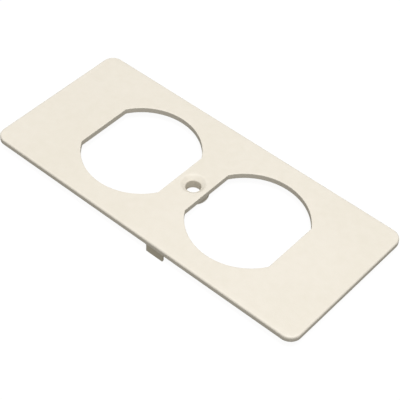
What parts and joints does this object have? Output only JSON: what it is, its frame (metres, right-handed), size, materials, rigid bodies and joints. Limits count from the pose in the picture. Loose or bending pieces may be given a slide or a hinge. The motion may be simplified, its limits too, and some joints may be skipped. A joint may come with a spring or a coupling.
{
  "type": "duplex cover plate",
  "caption": "Narrow flat cover plate with duplex receptacle openings, a bushed countersunk hole for the cover screw, and small spring clips under its long edges.",
  "frame": {"origin": "on the screw hole's axis, level with the tips of the clip legs", "axes": "+X along the plate's length, +Y across it, +Z out of its face, along the screw hole"},
  "size_m": [0.1076, 0.0478, 0.0043],
  "materials": {
    "ivory_face": "fine matte moulded texture",
    "ivory_boss": "plain moulded, slightly smoother than the face",
    "ivory_clip": "plain moulded, slightly smoother and a shade darker than the plate"
  },
  "bodies": {
    "plate": {"face_plate": "ivory_face", "screw_bushing": "ivory_boss", "front_clip_foot": "ivory_clip", "rear_clip_foot": "ivory_clip"},
    "front_clip": {"front_clip_leg": "ivory_clip"},
    "rear_clip": {"rear_clip_leg": "ivory_clip"}
  },
  "joints": [
    {"name": "front_clip_flex", "type": "hinge", "parent": "plate", "child": "front_clip", "pos_m": [0.0074, -0.02355, 0.0024], "axis": [1, 0, 0], "range_deg": [0, 4], "stiffness_Nm_per_rad": 0.6},
    {"name": "rear_clip_flex", "type": "hinge", "parent": "plate", "child": "rear_clip", "pos_m": [-0.0074, 0.02355, 0.0024], "axis": [-1, 0, 0], "range_deg": [0, 4], "stiffness_Nm_per_rad": 0.6}
  ]
}
